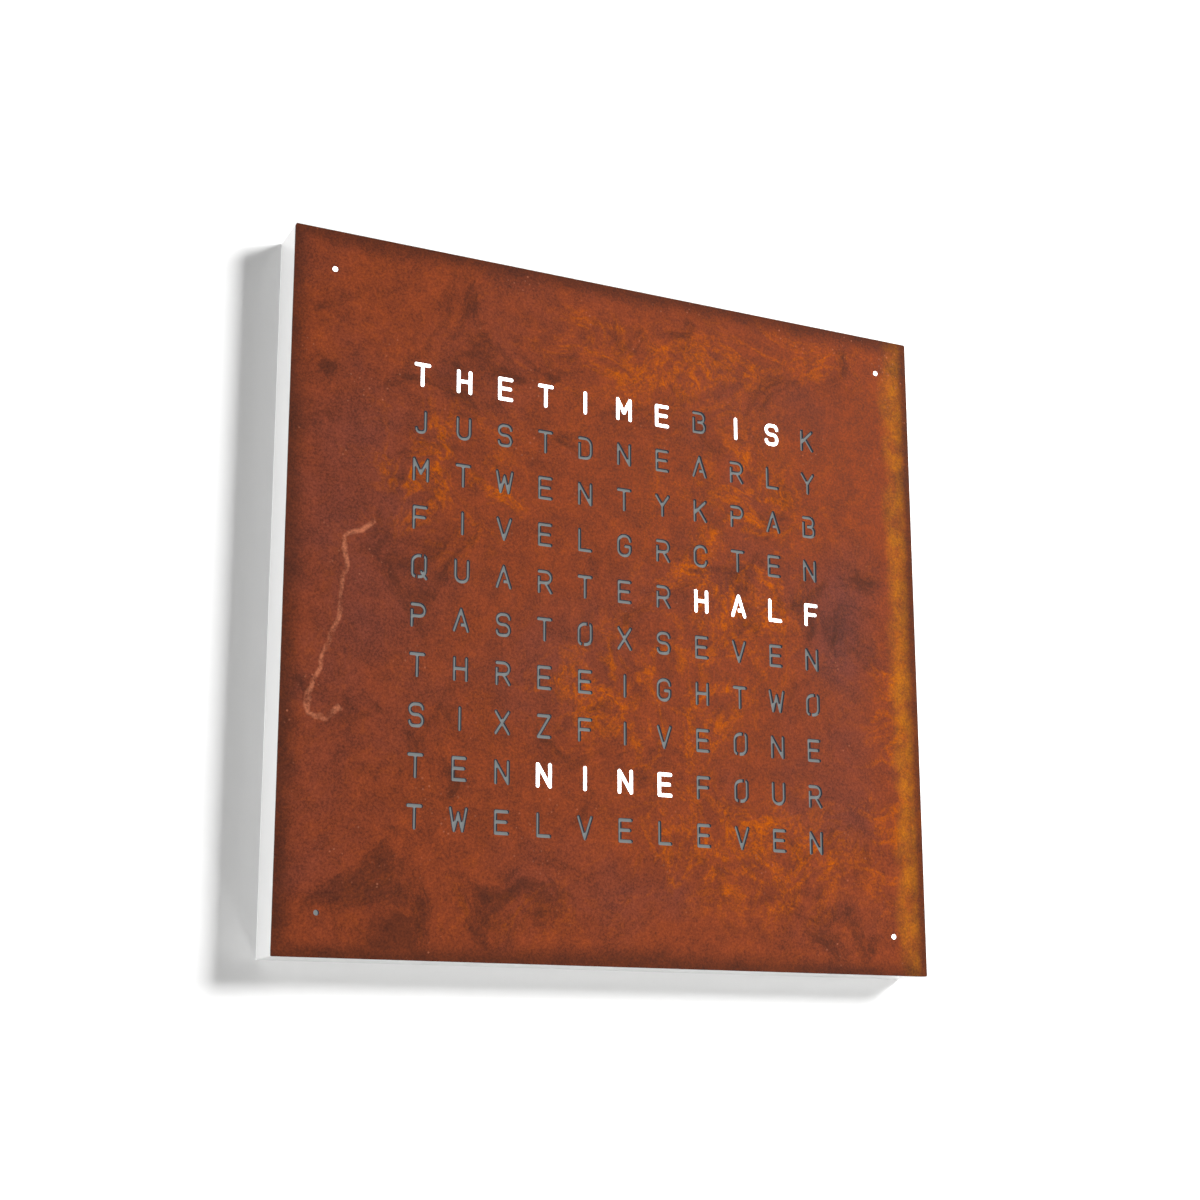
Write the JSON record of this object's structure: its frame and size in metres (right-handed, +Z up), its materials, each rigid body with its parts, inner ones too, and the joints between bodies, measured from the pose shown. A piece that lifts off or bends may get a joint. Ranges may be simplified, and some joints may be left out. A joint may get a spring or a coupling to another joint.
{
  "type": "word clock",
  "caption": "Square wall-hung word clock: rusted steel front sheet that pulls off magnets, white housing, light grid, side buttons and keyhole plates behind.",
  "frame": {"origin": "centre of the rear face of the housing frame, the face that lies on the wall", "axes": "+X to the right seen from the front, +Z up, +Y into the wall, so the front faces -Y"},
  "size_m": [0.4512, 0.032, 0.45],
  "materials": {
    "white_lacquer": "smooth white lacquer, satin gloss",
    "rusted_steel": "rusted and sealed, matt",
    "bare_steel": "zinc plated",
    "hanger_steel": "zinc plated sheet",
    "magnet_nickel": "nickel plated",
    "diffuser_plastic": "opal, matt",
    "grid_plastic": "white moulded, matt",
    "circuit_board": "white solder mask",
    "lamp_package": "white lamp packages",
    "carrier_plastic": "black moulded, fine grain",
    "rear_grey": "black sheet, fine grain",
    "brass_parts": "turned",
    "chip_black": "black moulded",
    "capacitor_can": "drawn cans",
    "ribbon_grey": "grey flat cable",
    "lead_sheath": "white soft sheath",
    "clear_pipe": "clear, polished end",
    "button_white": "moulded, satin"
  },
  "bodies": {
    "housing": {"housing_frame": "white_lacquer", "cover_magnets": "magnet_nickel", "diffuser_sheet": "diffuser_plastic", "light_grid": "grid_plastic", "lamp_board": "circuit_board", "letter_lamps": "lamp_package", "minute_lamps": "lamp_package", "carrier_plate": "carrier_plastic", "carrier_screws": "bare_steel", "grid_screws": "bare_steel", "controller_board": "circuit_board", "controller_standoffs": "brass_parts", "controller_screws": "bare_steel", "microcontroller": "chip_black", "driver_chips": "chip_black", "clock_crystal": "bare_steel", "cell_holder": "chip_black", "backup_cell": "bare_steel", "capacitors": "capacitor_can", "ribbon_headers": "chip_black", "ribbon_cable": "ribbon_grey", "button_lead": "lead_sheath", "power_jack": "chip_black", "power_jack_pin": "brass_parts", "plug_tray": "carrier_plastic", "rear_panel": "rear_grey", "rear_panel_screws": "bare_steel", "hanger_rivets": "bare_steel", "hanger_plate_left": "hanger_steel", "hanger_plate_right": "hanger_steel", "button_board": "circuit_board", "tact_switches": "chip_black", "light_sensor": "lamp_package", "light_pipe": "clear_pipe", "minute_board_top_left": "circuit_board", "minute_tube_top_left": "grid_plastic", "minute_lead_top_left": "lead_sheath", "minute_board_top_right": "circuit_board", "minute_tube_top_right": "grid_plastic", "minute_lead_top_right": "lead_sheath", "minute_board_bottom_left": "circuit_board", "minute_tube_bottom_left": "grid_plastic", "minute_lead_bottom_left": "lead_sheath", "minute_board_bottom_right": "circuit_board", "minute_tube_bottom_right": "grid_plastic", "minute_lead_bottom_right": "lead_sheath"},
    "cover": {"front_cover": "rusted_steel", "cover_studs": "bare_steel"},
    "button_mode": {"button_mode": "button_white", "switch_stem_mode": "chip_black"},
    "button_hours": {"button_hours": "button_white", "switch_stem_hours": "chip_black"},
    "button_minutes": {"button_minutes": "button_white", "switch_stem_minutes": "chip_black"}
  },
  "joints": [
    {"name": "cover_pull", "type": "slide", "parent": "housing", "child": "cover", "axis": [0, -1, 0], "range_m": [0, 0.06]},
    {"name": "press_mode", "type": "slide", "parent": "housing", "child": "button_mode", "axis": [-1, 0, 0], "range_m": [0, 0.0008], "stiffness_N_per_m": 1500, "springref_m": -0.0005},
    {"name": "press_hours", "type": "slide", "parent": "housing", "child": "button_hours", "axis": [-1, 0, 0], "range_m": [0, 0.0008], "stiffness_N_per_m": 1500, "springref_m": -0.0005},
    {"name": "press_minutes", "type": "slide", "parent": "housing", "child": "button_minutes", "axis": [-1, 0, 0], "range_m": [0, 0.0008], "stiffness_N_per_m": 1500, "springref_m": -0.0005}
  ]
}
